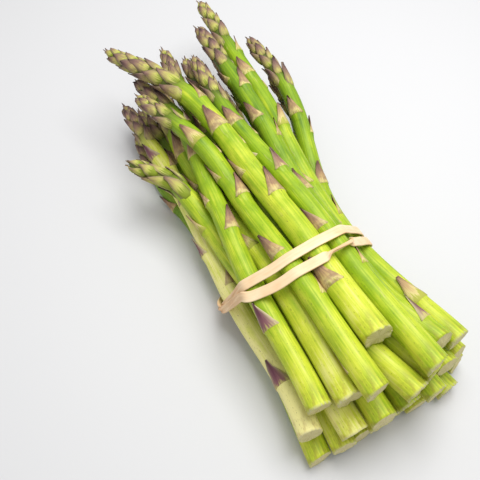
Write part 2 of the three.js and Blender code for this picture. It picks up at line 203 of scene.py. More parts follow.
def settle(spears):
    shape = (len(spears), len(STATIONS))
    x, z, bare, room = (np.zeros(shape) for _ in range(4))
    stem = np.zeros(shape, bool)
    for row, spear in enumerate(spears):
        xs, ys, zs = zip(spear.butt, spear.tie, spear.neck, spear.tip)
        for k, y in enumerate(STATIONS):
            x[row, k] = through(ys, xs, y)
            z[row, k] = through(ys, zs, y)
            bare[row, k] = radius_at(spear, y)
            in_head = spear.tip[1] - y < spear.head and y < spear.tip[1] + 2
            room[row, k] = bare[row, k] + (HEAD_ROOM if in_head else 0)
            stem[row, k] = ys[0] - STATION_STEP < y < ys[3] + STATION_STEP
    floor = np.array([floor_at(y) for y in STATIONS])
    near = np.exp(-((STATIONS / SQUEEZE.reach) ** 2))
    runs = [np.flatnonzero(row) for row in stem]
    ease = {len(run): easing(len(run)) for run in runs}
    solid = stem & (room > 0)
    meets = solid[:, None] & solid[None] & ~np.eye(len(spears), dtype=bool)[:, :, None]
    for turn in range(ROUNDS.all):
        r = np.zeros(shape)
        for row, run in enumerate(runs):
            ahead = np.append(run[1:], run[-1])
            behind = np.append(run[0], run[:-1])
            slope = np.hypot(x[row, ahead] - x[row, behind], z[row, ahead] - z[row, behind])
            slope /= STATIONS[ahead] - STATIONS[behind]
            r[row, run] = room[row, run] * np.sqrt(1 + slope**2)
        gap_x = x[None] - x[:, None]
        gap_z = z[None] - z[:, None]
        apart = np.hypot(gap_x, gap_z) + 1e-12
        short = np.where(meets, np.maximum(0, r[None] + r[:, None] + CLEARANCE - apart), 0)
        dx = -(0.5 * short / apart * gap_x).sum(axis=1)
        dz = -(0.5 * short / apart * gap_z).sum(axis=1)
        if turn < ROUNDS.squeeze:
            dx -= SQUEEZE.inward * near * x
            dz -= SQUEEZE.down * near
        for row, run in enumerate(runs):
            x[row, run] += ease[len(run)] @ dx[row, run]
            lifted = z[row, run] + ease[len(run)] @ dz[row, run]
            z[row, run] = np.maximum(lifted, floor[run] + bare[row, run])
    for row, (spear, run) in enumerate(zip(spears, runs)):
        spear.ys, spear.xs, spear.zs = STATIONS[run], x[row, run], z[row, run]


def centre_at(spear, y):
    return np.array([through(spear.ys, spear.xs, y), y, through(spear.ys, spear.zs, y)])


settle(spears)
print("spear 1 at the tie", np.round(centre_at(spears[0], 0), 2))

# %% [markdown]
# ## From the bunch's own frame to the shared one
# The CAD moves the finished bunch so that the origin is at its bottom centre. The band's solid tells how
# far: its box is set against the box of the same path worked out here.

# %% The band's path and the shift


def hull_point(y, turn, rise):
    """The point `rise` outside the bunch at y, 0 degrees being -X and 90 up, and the way out of it."""
    a = math.radians(turn)
    out = np.array([-math.cos(a), 0, math.sin(a)])
    reaches = []
    for spear in spears:
        centre = centre_at(spear, y)
        r = radius_at(spear, y) * TAUT
        reaches.append((centre @ out + r, tuple(centre + out * (r + rise))))
    return np.array(max(reaches)[1]), out


def ring_at(turn):
    """y of the middle between the strands: the ring leans, so on top it is nearest the cut ends."""
    return BAND.at - BAND.lean * math.sin(math.radians(turn))


def strand_offset(turned, crossing):
    """Distance of a strand from that middle, `turned` degrees from where the two strands cross."""
    top = math.sin(math.radians(turned + crossing))
    wide = BAND.apart + (BAND.spread - BAND.apart) * max(0, top)
    return wide * min(1, abs(math.sin(math.radians(turned) / 2)) * CROSSING.parting)


def smoothstep(v, low, high):
    t = min(1, max(0, (v - low) / (high - low)))
    return t * t * (3 - 2 * t)


def band_point(turned, rise, crossing=CROSSING.at):
    turn = turned + crossing
    y = ring_at(turn) + strand_offset(turned, crossing) * (1 if turned < 360 else -1)
    lift = (BAND.thick + BAND.gap) * smoothstep(CROSSING.over - abs(turned - 360), 0, CROSSING.rise)
    return hull_point(y, turn, BAND.gap + lift + rise)


low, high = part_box("rubber_band")
corners = [band_point(720 * k / 96, BAND.thick)[0] for k in range(96)]
left = min(point[0] for point in corners)
near = min(point[1] for point in corners) - BAND.width / 2
shift = np.array([low.x / MM - left, low.y / MM - near, 0])
print("shift from the tie's frame", np.round(shift, 3), "mm")


def place(point):
    """A point of the bunch in millimetres, from the tie, as metres in the shared frame."""
    return (np.asarray(point) + shift) * MM

# %% [markdown]
# ## One leaf, many times
# An asparagus spear has no open leaves. It has bracts: thin triangular scales, each with a wide foot that
# clasps the stem and a point that lies along it. They could be modelled one by one, but they all have one
# plan. So two templates are made flat, `across` from -1 to 1 and `along` from the foot to the point, and a
# tree will place, size and bend them. Below the foot a bract has a shoulder, where the stem swells. A head
# scale is rounder and fuller, with a keel along its middle.

# %% The two templates
BRACT_LENGTHS = [-0.5, -0.25, 0, 0.03, 0.2, 0.45, 0.7, 1]
SCALE_LENGTHS = [0, 0.15, 0.35, 0.6, 0.82, 1]


def object_of(name, data):
    obj = bpy.data.objects.new(name, data)
    bpy.context.collection.objects.link(obj)
    return obj


def mesh_of(name, points, edges=(), faces=(), **values):
    """A scratch object with point attributes: numbers, or rows of three for a vector."""
    mesh = bpy.data.meshes.new(name)
    mesh.from_pydata([tuple(map(float, p)) for p in points], edges, faces)
    for label, rows in values.items():
        rows = np.asarray(rows, np.float32)
        kind, field = ("FLOAT", "value") if rows.ndim == 1 else ("FLOAT_VECTOR", "vector")
        mesh.attributes.new(label, kind, "POINT").data.foreach_set(field, rows.ravel())
    return object_of(name, mesh)


def template(name, columns, lengths, half_width, outer, inner):
    """A closed flat scale: an outer and an inner sheet over the same rim, with across and along kept."""
    count = columns + 1
    places = [(u, along) for along in lengths for u in np.linspace(-1, 1, count)]
    points = [(u * half_width(along), along, sheet(u, along))
              for sheet in (outer, inner) for u, along in places]
    sides, edge = zip(*places * 2)
    grid = np.arange(len(places)).reshape(-1, count)
    faces = []
    for a in grid[:-1, :-1].ravel().tolist():
        b = a + grid.size
        faces += [(a, a + 1, a + 1 + count, a + count), (b, b + count, b + 1 + count, b + 1)]
    rim = np.concatenate([grid[0], grid[1:, -1], grid[-1, -2::-1], grid[-2:0:-1, 0]]).tolist()
    for a, b in zip(rim, rim[1:] + rim[:1]):
        faces.append((b, a, a + grid.size, b + grid.size))
    return mesh_of(name, points, faces=faces, across=sides, along=edge)


def bract_width(along):
    if along <= 0:
        return 1.0
    return (1 - along) * (1 - 0.1 * math.sin(math.pi * along)) + 0.015


def bract_outer(u, along):
    if along <= 0:
        return 1.15 * (1 - abs(u) ** 3) * (1 + 2 * along) ** 1.4 - 0.25
    return 1.25 - 0.45 * u * u * (1 - along) - 0.35 * math.sin(math.pi * along)


def bract_inner(u, along):
    return -0.6 if along <= 0.3 else bract_outer(u, along) - 0.35


def scale_width(along):
    if along < 0.25:
        return 0.8 + 0.2 * math.sin(math.pi / 2 * along / 0.25)
    t = (along - 0.25) / 0.75
    return (1 - t) ** 1.05 * (1 + 0.55 * t) + 0.02


def scale_outer(u, along):
    bud = math.sin(math.pi / 2 * min(1, along / 0.4)) ** 0.8
    keel = 0.25 * (1 - abs(u)) * math.sin(math.pi * min(1, along + 0.15))
    return 0.05 + 0.55 * bud + 0.55 * along - (0.5 - 0.35 * along) * u * u + keel


def scale_inner(u, along):
    return scale_outer(u, along) - 0.28 - 0.9 * (1 - along) ** 2


bract = template("bract", 6, BRACT_LENGTHS, bract_width, bract_outer, bract_inner)
scale = template("scale", 4, SCALE_LENGTHS, scale_width, scale_outer, scale_inner)
print("faces of a bract", len(bract.data.polygons), "and of a head scale", len(scale.data.polygons))

# %% [markdown]
# ## Sums in node trees
# A node tree is a recipe. Written out by hand, each node takes four lines: make it, set its options, fill
# its inputs, link it. One helper does all of that. What a node gives is wrapped in a `Value`, so that sums
# can be written as sums: `a * b + 1` adds a multiply node and an add node.

# %% Node helpers


class Value:
    """What a node gives. A sum on it adds the node that works the sum out."""

    def __init__(self, socket):
        self.socket = socket
        self.tree = socket.id_data

    def __add__(self, other):
        return calc("ADD", self, other)

    def __sub__(self, other):
        return calc("SUBTRACT", self, other)

    def __rsub__(self, other):
        return calc("SUBTRACT", other, self)

    def __mul__(self, other):
        return calc("MULTIPLY", self, other)

    def __pow__(self, other):
        return calc("POWER", self, other)


def node_of(tree, kind, sockets=None, **options):
    """A node with its options set and its inputs filled, by name or number, with numbers or Values."""
    node = tree.nodes.new(kind)
    for name, value in options.items():
        setattr(node, name, value)
    for name, value in (sockets or {}).items():
        if isinstance(value, Value):
            tree.links.new(value.socket, node.inputs[name])
        else:
            node.inputs[name].default_value = value
    return node


def made(tree, kind, sockets=None, output=0, **options):
    return Value(node_of(tree, kind, sockets, **options).outputs[output])


def tree_of(values):
    return next(value.tree for value in values if isinstance(value, Value))


def calc(operation, *values):
    return made(tree_of(values), "ShaderNodeMath", dict(enumerate(values)), operation=operation)


def vector_calc(operation, *values):
    sockets = dict(enumerate(values))
    if operation == "SCALE":
        sockets = {0: values[0], "Scale": values[1]}
    return made(tree_of(values), "ShaderNodeVectorMath", sockets, operation=operation)


def vector_of(x, y, z):
    return made(tree_of((x, y, z)), "ShaderNodeCombineXYZ", {"X": x, "Y": y, "Z": z})


def parts_of(vector):
    node = node_of(vector.tree, "ShaderNodeSeparateXYZ", {"Vector": vector})
    return [Value(socket) for socket in node.outputs]


def scaled(value, high, low=0.0, to_low=0.0, to_high=1.0):
    """`value` carried from low..high to to_low..to_high and held there."""
    sockets = {"Value": value, "From Min": low, "From Max": high, "To Min": to_low, "To Max": to_high}
    return made(value.tree, "ShaderNodeMapRange", sockets, clamp=True)


def fading(value, end, start=1.0):
    """A share that falls from `start` where value is 0 to nothing where it is `end`."""
    return scaled(value, end, to_low=start, to_high=0.0)


print("helpers for nodes and sums ready")

# %% [markdown]
# ## Rolling a sheet round a line
# Everything on a spear is first laid out flat: x is the angle round the stem, y the distance along it, and
# z the height above its skin. This tree bends that sheet round the centre line. It samples the line at y,
# makes a side and an up direction there, and sets each point at the stem's radius plus its height out.
# `inset` pulls a point in towards the axis, which is how the cut face is made.

# %% The rolling tree
LEAD = 4.0  # the line starts this many millimetres before the cut end, and ends as far past the tip
TABLE_FILM = 0.03  # nothing goes lower than this above the table: what would is pressed flat on it


def new_tree(name, inputs):
    """A geometry tree, the Values of its inputs, and its output node."""
    tree = bpy.data.node_groups.new(name, "GeometryNodeTree")
    for label, kind in inputs.items():
        tree.interface.new_socket(label, in_out="INPUT", socket_type="NodeSocket" + kind)
    tree.interface.new_socket("Geometry", in_out="OUTPUT", socket_type="NodeSocketGeometry")
    sockets = tree.nodes.new("NodeGroupInput").outputs
    return tree, {label: Value(sockets[label]) for label in inputs}, tree.nodes.new("NodeGroupOutput")


def attribute(tree, name, kind="FLOAT"):
    return made(tree, "GeometryNodeInputNamedAttribute", {"Name": name}, data_type=kind)


def on_line(line, name, kind="FLOAT", **at):
    """What a line carries by this name, its direction and its place, at a Length or a Factor of it."""
    sockets = {"Curves": line, "Value": attribute(line.tree, name, kind), **at}
    mode = next(iter(at)).upper()
    node = node_of(line.tree, "GeometryNodeSampleCurve", sockets, mode=mode, data_type=kind)
    return [Value(node.outputs[label]) for label in ("Value", "Tangent", "Position")]


def beside(centre, tangent, outward, sideways, upwards):
    """The place so far to the side of a line's centre and so far outward from it."""
    side = vector_calc("NORMALIZE", vector_calc("CROSS_PRODUCT", tangent, outward))
    up = vector_calc("CROSS_PRODUCT", side, tangent)
    offset = vector_calc("ADD", vector_calc("SCALE", side, sideways), vector_calc("SCALE", up, upwards))
    return vector_calc("ADD", centre, offset)


def position_in(tree):
    return parts_of(made(tree, "GeometryNodeInputPosition"))


def set_position(geometry, **sockets):
    return made(geometry.tree, "GeometryNodeSetPosition", {"Geometry": geometry, **sockets})


def give(geometry, output):
    geometry.tree.links.new(geometry.socket, output.inputs["Geometry"])


def rolling_tree():
    tree, given, output = new_tree("Roll round a line", {"Geometry": "Geometry", "Line": "Geometry"})
    angle, run, height = position_in(tree)
    radius, tangent, centre = on_line(given["Line"], "radius", Length=run + LEAD * MM)
    out = radius * (1.0 - attribute(tree, "inset")) + height
    sideways, upwards = out * calc("COSINE", angle), out * calc("SINE", angle)
    x, y, z = parts_of(beside(centre, tangent, (0, 0, 1), sideways, upwards))
    resting = vector_of(x, y, calc("MAXIMUM", z, TABLE_FILM * MM))
    give(set_position(given["Geometry"], Position=resting), output)
    return tree


rolling = rolling_tree()
print(rolling.name, len(rolling.nodes), "nodes")

# %% [markdown]
# ## The skin
# A real stem isn't a smooth tube. Fine ridges run along it, it is a little uneven, and its cut end is a
# slanted, fibrous face. The skin is a grid: its first rows go from the middle of the cut face out to the
# rim, the others run up to the tip. Noise that is stretched along the stem raises the ridges.

# %% The skin as a flat sheet
FACE_ROWS = 9
SKIN_ROWS = 170
SKIN_COLUMNS = 44
CUT_REACH = 12  # the cut's slant and tears fade out over this many millimetres of the stem
# A width is a share of the radius, a height is in millimetres, and drift is how fast noise changes along.
RIDGES = Record(width=0.22, drift=9.0, height=0.12)
LUMPS = Record(width=2.2, drift=60.0, height=0.22)
TEARS = Record(width=0.4, detail=5.0)
FIBRES = Record(width=0.16, height=0.16, hollow=0.35)


def stored(geometry, name, value, kind="FLOAT"):
    sockets = {"Geometry": geometry, "Name": name, "Value": value}
    return made(geometry.tree, "GeometryNodeStoreNamedAttribute", sockets, data_type=kind)


def noise(vector, size, detail=2.0, seed=None):
    """Noise from -1 to 1 whose bumps are about `size` units wide."""
    sockets = {"Vector": vector, "Scale": 1 / size, "Detail": detail}
    if seed is not None:
        sockets["W"] = seed
    dimensions = "3D" if seed is None else "4D"
    return made(vector.tree, "ShaderNodeTexNoise", sockets, noise_dimensions=dimensions) * 2.0 - 1.0


def skin_sheet(tree, given):
    """The skin as a flat grid, with ridges, the slanted and ragged cut, and the cut face."""
    rows = FACE_ROWS + SKIN_ROWS
    grid = made(tree, "GeometryNodeMeshGrid",
                {"Size X": math.tau, "Size Y": 1.0, "Vertices X": SKIN_COLUMNS + 1, "Vertices Y": rows + 1})
    x, y, _ = position_in(tree)
    angle = x + math.pi
    row = (y + 0.5) * rows
    share = scaled(row, FACE_ROWS)
    inset = 1.0 - share
    along = scaled(row, rows, low=FACE_ROWS) * given["Length"]
    around = vector_of(calc("COSINE", angle), calc("SINE", angle), 0.0)
    near_cut = fading(along, CUT_REACH * MM)
    seed = given["Seed"]

    def uneven(kind, detail):
        at = vector_calc("ADD", around, vector_of(0.0, 0.0, along * kind.drift))
        return noise(at, kind.width, detail, seed) * (kind.height * MM)

    ridges = uneven(RIDGES, 2.0) * (near_cut * 1.2 + 0.8)
    height = (ridges + uneven(LUMPS, 1.0)) * share
    slant = share * given["Slant"] * (calc("COSINE", angle - given["Slant turn"]) + 1.0)
    torn = noise(around, TEARS.width, TEARS.detail, seed) * given["Ragged"] * share**3.0
    fibres = noise(vector_calc("SCALE", around, share), FIBRES.width, 1.0, seed) * (FIBRES.height * MM)
    fibres = fibres * scaled(inset, 0.15)
    hollow = scaled(inset, 0.35) * (FIBRES.hollow * MM)
    cut = (slant + torn + (fibres + hollow)) * near_cut
    return set_position(stored(grid, "inset", inset), Position=vector_of(angle, along + cut, height))


print("the skin has", SKIN_COLUMNS * (FACE_ROWS + SKIN_ROWS), "faces")

# %% [markdown]
# ## The whole spear
# Bracts and head scales are copies of their templates on seed points. Each seed carries its own angle,
# width, length, height and lean. Leaves and skin are joined while flat, marked for the material, and only
# then rolled round the line, so that they bend together.

# %% The spear tree
LEAF_CLEAR = 3.0  # a bract's shoulder ends at least this far above the cut end
CROOKED = 0.35  # how far a leaf's point wanders sideways, in radians round the stem
DENTED = 0.5  # and up or down, in millimetres
BUD_SHADE = Record(starts=6, full=18)  # past the neck, where painted shade darkens the skin under the head's scales
SEAM = 0.01
SPEAR_INPUTS = {
    "Geometry": "Geometry", "Line": "Object", "Bract": "Object", "Scale": "Object",
    "Length": "Float", "Slant": "Float", "Slant turn": "Float", "Ragged": "Float", "Seed": "Float",
    "Neck": "Float", "Green": "Float", "Pale end": "Float", "Skin": "Material",
}


def joined(first, second):
    node = node_of(first.tree, "GeometryNodeJoinGeometry", {"Geometry": first})
    first.tree.links.new(second.socket, node.inputs[0])
    return Value(node.outputs[0])


def finished(geometry, seam, material, output):
    """The end of a tree: seams closed, smooth shading, real geometry, and its material."""
    tree = geometry.tree
    closed = made(tree, "GeometryNodeMergeByDistance", {"Geometry": geometry, "Distance": seam})
    smooth = made(tree, "GeometryNodeSetShadeSmooth", {"Geometry": closed})
    real = made(tree, "GeometryNodeRealizeInstances", {"Geometry": smooth})
    give(made(tree, "GeometryNodeSetMaterial", {"Geometry": real, "Material": material}), output)


def leaves_on(points, leaf, chosen):
    """Copies of a template on the chosen seed points, turned into real geometry."""
    tree = points.tree
    size = vector_of(*(attribute(tree, name) for name in ("half_angle", "length", "height")))
    copies = made(tree, "GeometryNodeInstanceOnPoints",
                  {"Points": points, "Selection": chosen, "Instance": leaf, "Scale": size})
    real = made(tree, "GeometryNodeRealizeInstances", {"Geometry": copies})
    along = calc("MAXIMUM", attribute(tree, "along"), 0.0)
    place_on_it = vector_of(attribute(tree, "across"), along * 3.0, attribute(tree, "tone") * 40.0)
    turned = attribute(tree, "lean") * along + noise(place_on_it, 0.7) * (along * CROOKED)
    raised = attribute(tree, "lift") * (along * along) + noise(place_on_it, 0.4) * (along * (DENTED * MM))
    placed = set_position(real, Offset=vector_of(turned, 0.0, raised))
    x, y, z = position_in(tree)
    return set_position(placed, Position=vector_of(x, calc("MAXIMUM", y, LEAF_CLEAR * MM), z))


def spear_tree():
    tree, given, output = new_tree("Asparagus spear", SPEAR_INPUTS)
    path, bract_leaf, scale_leaf = (
        made(tree, "GeometryNodeObjectInfo", {"Object": given[name]}, "Geometry")
        for name in ("Line", "Bract", "Scale"))
    line = made(tree, "GeometryNodeMeshToCurve", {"Mesh": path})
    in_head = calc("GREATER_THAN", attribute(tree, "in_head"), 0.5)
    bracts = leaves_on(given["Geometry"], bract_leaf, 1.0 - in_head)
    scales = leaves_on(given["Geometry"], scale_leaf, in_head)
    leafy = stored(joined(bracts, scales), "leaf", 1.0)
    whole = joined(leafy, skin_sheet(tree, given))
    angle, run, _ = position_in(tree)
    grain = vector_of(calc("COSINE", angle), calc("SINE", angle), run)
    whole = stored(whole, "grain", grain, "FLOAT_VECTOR")
    whole = stored(whole, "up_stem", calc("DIVIDE", run, given["Length"]))
    # Painted shade: in_bud marks where the skin is darkened under the head's scales, so the gaps between them
    # look shaded.
    whole = stored(whole, "in_bud", scaled(run - given["Neck"], BUD_SHADE.full * MM, low=BUD_SHADE.starts * MM))
    whole = stored(whole, "green", given["Green"])
    whole = stored(whole, "pale_end", given["Pale end"])
    rolled = made(tree, "GeometryNodeGroup", {"Geometry": whole, "Line": line}, node_tree=rolling)
    outside = made(tree, "GeometryNodeFlipFaces", {"Mesh": rolled})
    finished(outside, SEAM * MM, given["Skin"], output)
    return tree


spear_nodes = spear_tree()
print(spear_nodes.name, len(spear_nodes.nodes), "nodes")

# %% [markdown]
# ## Colours and blotches
# A material is a node tree too. Its colours are given as they look on a screen. A stem grows faster along
# than across, so its blotches are noise that is stretched along it.

# %% Material helpers


def srgb(red, green, blue):
    """A colour as seen on a screen, 0 to 255, as the linear values that Blender wants."""
    shares = [c / 255 for c in (red, green, blue)]
    return tuple(((c + 0.055) / 1.055) ** 2.4 for c in shares) + (1,)


def read(tree, name, output="Fac"):
    return made(tree, "ShaderNodeAttribute", output=output, attribute_name=name)


def mixed(share, a, b):
    sockets = {"Factor": share, 6: a, 7: b}
    return made(share.tree, "ShaderNodeMix", sockets, 2, data_type="RGBA")


def ramp(share, stops):
    """A colour for each share, from (share, red, green, blue) rows."""
    node = node_of(share.tree, "ShaderNodeValToRGB", {"Fac": share})
    elements = node.color_ramp.elements
    while len(elements) < len(stops):
        elements.new(0.5)
    for element, (at, *colour) in zip(elements, stops):
        element.position = at
        element.color = srgb(*colour)
    return Value(node.outputs[0])


def stretched(vector, across, along, detail=3.0):
    """Noise from 0 to 1 whose blotches are `across` wide round the stem and `along` long."""
    scales = (1 / across, 1 / across, 1 / along)
    at = made(vector.tree, "ShaderNodeMapping", {"Vector": vector, "Scale": scales})
    return made(vector.tree, "ShaderNodeTexNoise", {"Vector": at, "Scale": 1.0, "Detail": detail})


def surface_of(name, roughness, **constants):
    """A new material, its tree and its shader, with constants set on the shader's own sockets."""
    material = bpy.data.materials.new(name)
    material.use_nodes = True
    tree = material.node_tree
    shader = tree.nodes["Principled BSDF"]
    shader.inputs["Roughness"].default_value = roughness
    for label, value in constants.items():
        shader.inputs[label.replace("_", " ")].default_value = value
    return material, tree, shader


def drive(shader, **values):
    for label, value in values.items():
        value.tree.links.new(value.socket, shader.inputs[label.replace("_", " ")])


def bumped(height, depth):
    sockets = {"Strength": 0.6, "Distance": depth * MM, "Height": height}
    return made(height.tree, "ShaderNodeBump", sockets)


print("a stem's green in linear light", [round(part, 3) for part in srgb(144, 174, 24)[:3]])

# %% [markdown]
# ## Skin, bracts and cut face in one material
# A spear is one living thing, so one material covers it. Attributes that the tree left on the mesh say
# where the shader is: `leaf`, `across` and `along` on a bract, `inset` on the cut face, `grain` round and
# along the stem, and `green` for how green this spear is. The foot of a bract is yellow-green, its middle
# tan and its point mauve, and the lowest ones of some spears are mauve nearly all over.

# %% The asparagus material
# A mark is how wide and long its blotches are, their detail, and where in the noise one starts and is full.
Mark = namedtuple("Mark", "across along detail starts full strength colour")
FLECKS = Mark(0.09, 1.3, 2.0, 0.64, 0.76, 0.7, srgb(96, 82, 44))
SCARS = Mark(0.22, 9, 4.0, 0.62, 0.74, 0.4, srgb(196, 190, 112))
STAINS = Mark(0.45, 6, 4.0, 0.46, 0.7, 0.8, srgb(154, 118, 62))
STAIN_REACH = 14  # millimetres up from the cut end
RIM_REACH = 1.6  # and the pale rim of the cut


def spots(grain, mark):
    blotches = stretched(grain, mark.across, mark.along * MM, mark.detail)
    return scaled(blotches, mark.full, low=mark.starts)


def skin_colour(tree, grain):
    """Green of the stem: yellow-green ground, lengthwise streaks, brown flecks, a stained cut end, painted
    shade in the head.
    """
    up_stem, green, pale_end = (read(tree, name) for name in ("up_stem", "green", "pale_end"))
    streaks = stretched(grain, 0.13, 22 * MM)
    blotches = stretched(grain, 1.0, 14 * MM)
    uneven = (blotches * 0.5 - 0.25) + (streaks * 0.5 - 0.25)
    hue = green + (up_stem * 0.3 - 0.12) + uneven - fading(up_stem, 0.3) * pale_end
    skin = ramp(hue, [
        (0.0, 238, 230, 152), (0.25, 204, 212, 60), (0.5, 144, 174, 24), (0.75, 102, 138, 22),
        (1.0, 58, 90, 18)])
    along = parts_of(grain)[2]
    stained = spots(grain, STAINS) * fading(along, STAIN_REACH * MM, STAINS.strength)
    skin = mixed(stained, skin, STAINS.colour)
    rim = fading(along, RIM_REACH * MM) * scaled(streaks, 0.6, low=0.35)
    skin = mixed(rim, skin, srgb(216, 208, 168))
    for mark in (FLECKS, SCARS):
        skin = mixed(spots(grain, mark) * mark.strength, skin, mark.colour)
    # Painted shade: past the neck the skin is mixed towards dark olive, so it looks shaded under the scales.
    return mixed(read(tree, "in_bud") * 0.8, skin, srgb(70, 72, 34)), streaks


def leaf_colour(tree, grain, veins):
    """A bract's colour from its foot to its point, papery or mauve, and a head scale's."""
    across, along, tone = (read(tree, name) for name in ("across", "along", "tone"))
    patches = scaled(stretched(grain, 0.5, 3 * MM, 4.0), 0.62, low=0.42)
    patches = patches * scaled(tone, 0.5, low=-0.1)
    edge = calc("ABSOLUTE", across) ** 3.0
    rise = along + (veins * 0.9 - 0.45)
    mauve_rise = rise + (tone * 0.5 - 0.2)
    papery = ramp(mauve_rise, [
        (0.0, 170, 172, 70), (0.1, 212, 198, 132), (0.4, 184, 154, 106), (0.75, 138, 106, 90),
        (1.0, 88, 62, 56)])
    papery = mixed(patches * 0.65, papery, srgb(140, 108, 88))
    purple = ramp(rise, [(0.0, 186, 176, 104), (0.14, 136, 92, 96), (0.55, 106, 62, 76), (1.0, 86, 56, 60)])
    purple = mixed(edge, purple, srgb(206, 194, 150))
    on_stem = mixed(scaled(tone, 0.8, low=0.7), papery, purple)
    in_bud = ramp(mauve_rise, [
        (0.0, 128, 144, 34), (0.2, 190, 190, 96), (0.42, 174, 158, 98), (0.7, 134, 102, 94),
        (1.0, 66, 46, 50)])
    in_bud = mixed(patches * 0.55, in_bud, srgb(124, 98, 84))
    margin = mixed(scaled(veins, 0.7, low=0.4), srgb(80, 58, 52), srgb(204, 186, 146))
    in_bud = mixed(edge * 0.8, in_bud, margin)
    return mixed(read(tree, "in_head"), on_stem, in_bud)


def asparagus_material():
    material, tree, shader = surface_of("asparagus", 0.45, Specular_IOR_Level=0.32)
    grain = read(tree, "grain", "Vector")
    skin, streaks = skin_colour(tree, grain)
    across, along, aside = read(tree, "across"), read(tree, "along"), read(tree, "tone") * 30.0
    veins = stretched(vector_of(across + aside, aside, along), 0.14, 0.5)
    on_leaf = read(tree, "leaf") * scaled(along, 0.012)
    colour = mixed(on_leaf, skin, leaf_colour(tree, grain, veins))
    fibre_dots = made(tree, "ShaderNodeTexVoronoi", {"Vector": grain, "Scale": 11.0})
    flesh = ramp(fibre_dots, [(0.0, 150, 136, 84), (0.25, 200, 188, 128), (0.6, 218, 208, 156)])
    cut = scaled(read(tree, "inset"), 0.16, low=0.04)
    rough = on_leaf * 0.22 + 0.4 + streaks * 0.2 + cut * 0.3
    relief = streaks + veins * on_leaf * 1.5
    drive(shader, Base_Color=mixed(cut, colour, flesh), Roughness=rough, Normal=bumped(relief, 0.2))
    return material


asparagus = asparagus_material()
print(asparagus.name, len(asparagus.node_tree.nodes), "nodes")

# %% [markdown]
# ## Where the bracts sit
# Scales follow the golden angle: each is turned 137.5 degrees from the last, so none hides the next. Low on
# the stem they are far apart. Towards the head they crowd together, and in the head they overlap. A bract
# with a neighbour against it is pressed flat, so its height comes from the room that it has.

# %% Seed points for bracts and scales
GOLDEN_ANGLE = 137.5
USUAL_DIAMETER = 12.5  # the sizes below are those of a spear this thick
STEM_BRACTS = Record(gap_at_butt=40, gap_at_neck=8, crowding=0.8, length=16, shortening=0.15, height=0.8,
                     half_angle=58, full_room=1.5)
HEAD_SCALES = Record(shortest=5.5, longest=15, height=1.2, last=3.0, half_angle=44, wider=16)
Seed = namedtuple("Seed", "angle y half_angle length height lift lean in_head tone")


def room_at(spear, y, angle):
    """Free distance from the skin at y and angle to the table and to the nearest other spear."""
    a = math.radians(angle)
    r = radius_at(spear, y)
    point = centre_at(spear, y) + r * np.array([math.cos(a), 0, math.sin(a)])
    room = point[2]
    for other in spears:
        if other is spear or not other.butt[1] - 1 < y < other.tip[1] + 1:
            continue
        centre = centre_at(other, y)
        room = min(room, math.hypot(point[0] - centre[0], point[2] - centre[2]) - radius_at(other, y))
    return room


def head_scales(spear, look, draw, y, angle):
    """A seed for each scale of the head, from y, where the bracts end, to the tip."""
    form = HEAD_SCALES
    size = spear.d / USUAL_DIAMETER
    while y < spear.tip[1] - form.last:
        u = (spear.tip[1] - y) / spear.head
        length = form.shortest + (form.longest - form.shortest) * u**0.7
        length *= size * (0.85 + 0.3 * next(draw))
        height = form.height * size * (0.75 + 0.5 * next(draw))
        lift = (0.25 + look.open) * (0.3 + 1.6 * next(draw)) * (0.3 + 0.7 * u)
        lean = math.radians(24 * next(draw) - 12)
        tone = look.mauve + 0.6 * next(draw) - 0.3
        yield Seed(angle, y, form.half_angle + form.wider * (1 - u), length, height, lift, lean, 1, tone)
        y += 1.1 + 1.3 * u + 2.2 * u**4
        angle += GOLDEN_ANGLE + 12 * next(draw) - 6


def seeds_of(spear, look, draw):
    """A seed for each bract, from the lowest to the neck, and then those of the head."""
    form, foot, neck = STEM_BRACTS, spear.butt[1], spear.tip[1] - spear.head
    size = spear.d / USUAL_DIAMETER
    y, angle = foot + spear.first, spear.turn
    while y < neck:
        share = (y - foot) / (neck - foot)
        length = form.length * (1 - form.shortening * share) * size
        room = min(room_at(spear, y + part * length, angle) for part in (0, 0.4, 0.8))
        room = min(1, max(0.25, room / form.full_room))
        lift = (0.3 + 0.5 * next(draw)) * (0.5 + look.open) * (room if room > 0.9 else 0)
        tone = look.mauve + 0.5 * next(draw) - 0.25
        half_angle = form.half_angle + 8 * next(draw)
        yield Seed(angle, y, half_angle, length, form.height * size * room, lift, 0, 0, tone)
        y += form.gap_at_butt + (form.gap_at_neck - form.gap_at_butt) * share**form.crowding
        angle += GOLDEN_ANGLE
    yield from head_scales(spear, look, draw, y, angle)


print("room above spear 2 at the tie", round(room_at(spears[1], 0, 90), 2), "mm")

# %% [markdown]
# ## Growing the spears
# Each spear is grown by the same tree from its own line and seeds. What differs is in the table below: how
# green it is, how much paler at its foot, how torn its cut is in millimetres, how mauve its bracts are and
# how far they stand open. The spears inside the bunch draw theirs.

# %% Growing
FINE_STEP = 0.5  # the centre line is measured in steps this long
CORE = Record(thinner=0.1, full_before_tip=30)  # the stem inside a head, under its scales
Look = namedtuple("Look", "green pale_end ragged mauve open")
LARGEST_SLANT = 0.2
SEED_STEP = 3.7  # apart in the noise, so that no two spears look alike
LOOKS = [
    Look(0.06, 0.10, 0.6, 0.90, 0.2), Look(0.46, 0.05, 0.8, 0.80, 0.2), Look(0.33, 0.00, 2.2, 0.40, 0.2),
    Look(0.45, 0.00, 0.9, 0.30, 0.3), Look(0.39, 0.00, 3.2, 0.35, 0.4), Look(0.50, 0.00, 0.8, 0.60, 0.3),
    Look(0.57, 0.05, 0.7, 0.55, 0.2), Look(0.46, 0.00, 0.5, 0.15, 1.0), Look(0.35, 0.10, 0.4, -0.1, 0.6),
    Look(0.50, 0.10, 1.0, 0.50, 0.9), Look(0.50, 0.10, 1.0, 0.50, 1.0), Look(0.50, 0.10, 1.2, 0.60, 0.3),
    Look(0.50, 0.10, 0.9, 0.60, 0.4), Look(0.55, 0.10, 0.8, 0.70, 0.3),
]


